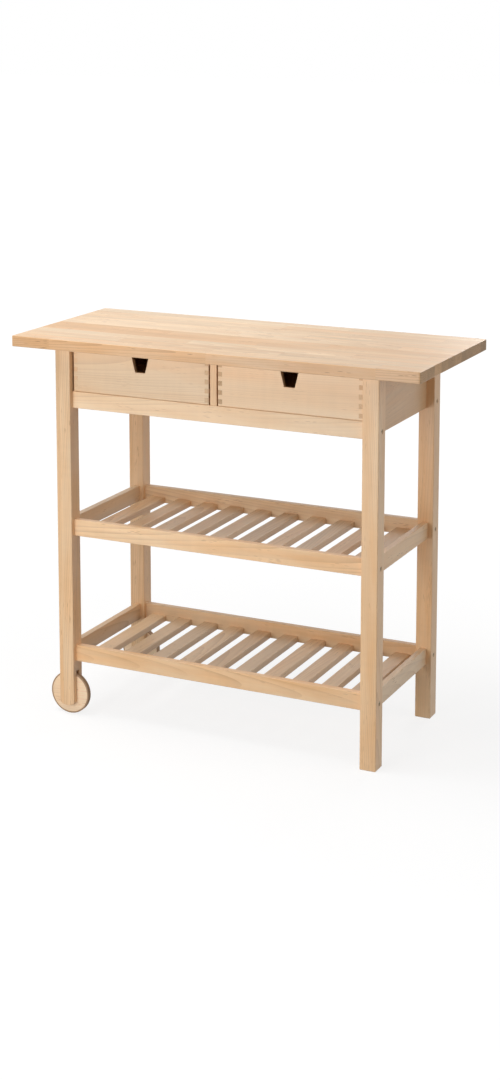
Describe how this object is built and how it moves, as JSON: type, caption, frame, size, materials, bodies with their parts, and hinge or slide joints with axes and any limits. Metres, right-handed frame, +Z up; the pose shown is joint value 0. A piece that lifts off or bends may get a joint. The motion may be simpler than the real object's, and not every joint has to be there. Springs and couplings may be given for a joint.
{
  "type": "kitchen trolley table",
  "caption": "Solid birch kitchen trolley table: edge-glued worktop, through drawers with finger joints, slatted shelves, and a pair of wooden wheels let into the legs at one end.",
  "frame": {"origin": "on the floor, under the middle of the worktop", "axes": "+X along the worktop's length, away from the wheels; +Y from the front to the back; +Z up"},
  "size_m": [1, 0.43, 0.9],
  "materials": {
    "worktop_birch": "pale birch staves glued edge to edge, thin satin lacquer",
    "frame_birch": "planed birch, thin satin lacquer, straight grain",
    "slat_birch": "planed birch, thin satin lacquer",
    "drawer_birch": "planed birch boards, end grain darker at the finger joints",
    "panel_birch_ply": "birch plywood, rotary-cut face",
    "wheel_birch": "turned birch, satin lacquer",
    "dowel_beech": "plain turned beech",
    "rubber": "matt grey-brown rubber",
    "zinc_steel": "zinc plated steel"
  },
  "bodies": {
    "frame": {"barrel_nuts": "zinc_steel", "connector_bolts": "zinc_steel", "dowels": "dowel_beech", "drawer_divider": "frame_birch", "front_drawer_rail": "frame_birch", "front_left_leg": "frame_birch", "front_right_leg": "frame_birch", "left_apron": "frame_birch", "left_inner_runner": "frame_birch", "left_outer_runner": "frame_birch", "lower_shelf_front_rail": "frame_birch", "lower_shelf_left_rail": "frame_birch", "lower_shelf_rear_rail": "frame_birch", "lower_shelf_right_rail": "frame_birch", "lower_shelf_slat_01": "slat_birch", "lower_shelf_slat_02": "slat_birch", "lower_shelf_slat_03": "slat_birch", "lower_shelf_slat_04": "slat_birch", "lower_shelf_slat_05": "slat_birch", "lower_shelf_slat_06": "slat_birch", "lower_shelf_slat_07": "slat_birch", "lower_shelf_slat_08": "slat_birch", "lower_shelf_slat_09": "slat_birch", "lower_shelf_slat_10": "slat_birch", "middle_shelf_front_rail": "frame_birch", "middle_shelf_left_rail": "frame_birch", "middle_shelf_rear_rail": "frame_birch", "middle_shelf_right_rail": "frame_birch", "middle_shelf_slat_01": "slat_birch", "middle_shelf_slat_02": "slat_birch", "middle_shelf_slat_03": "slat_birch", "middle_shelf_slat_04": "slat_birch", "middle_shelf_slat_05": "slat_birch", "middle_shelf_slat_06": "slat_birch", "middle_shelf_slat_07": "slat_birch", "middle_shelf_slat_08": "slat_birch", "middle_shelf_slat_09": "slat_birch", "middle_shelf_slat_10": "slat_birch", "rear_drawer_rail": "frame_birch", "rear_left_leg": "frame_birch", "rear_right_leg": "frame_birch", "right_apron": "frame_birch", "right_inner_runner": "frame_birch", "right_outer_runner": "frame_birch", "wheel_axles": "zinc_steel", "worktop": "worktop_birch"},
    "left_drawer": {"left_drawer_back": "drawer_birch", "left_drawer_bottom": "panel_birch_ply", "left_drawer_front": "drawer_birch", "left_drawer_inner_side": "drawer_birch", "left_drawer_outer_side": "drawer_birch"},
    "right_drawer": {"right_drawer_back": "drawer_birch", "right_drawer_bottom": "panel_birch_ply", "right_drawer_front": "drawer_birch", "right_drawer_inner_side": "drawer_birch", "right_drawer_outer_side": "drawer_birch"},
    "front_wheel_set": {"front_wheel": "wheel_birch", "front_wheel_tyre": "rubber"},
    "rear_wheel_set": {"rear_wheel": "wheel_birch", "rear_wheel_tyre": "rubber"}
  },
  "joints": [
    {"name": "left_drawer_slide", "type": "slide", "parent": "frame", "child": "left_drawer", "axis": [0, -1, 0], "range_m": [-0.25, 0.25]},
    {"name": "right_drawer_slide", "type": "slide", "parent": "frame", "child": "right_drawer", "axis": [0, -1, 0], "range_m": [-0.25, 0.25]},
    {"name": "front_wheel_spin", "type": "hinge", "parent": "frame", "child": "front_wheel_set", "pos_m": [-0.38, -0.171, 0.05], "axis": [0, 1, 0], "continuous": true},
    {"name": "rear_wheel_spin", "type": "hinge", "parent": "frame", "child": "rear_wheel_set", "pos_m": [-0.38, 0.171, 0.05], "axis": [0, 1, 0], "continuous": true}
  ]
}
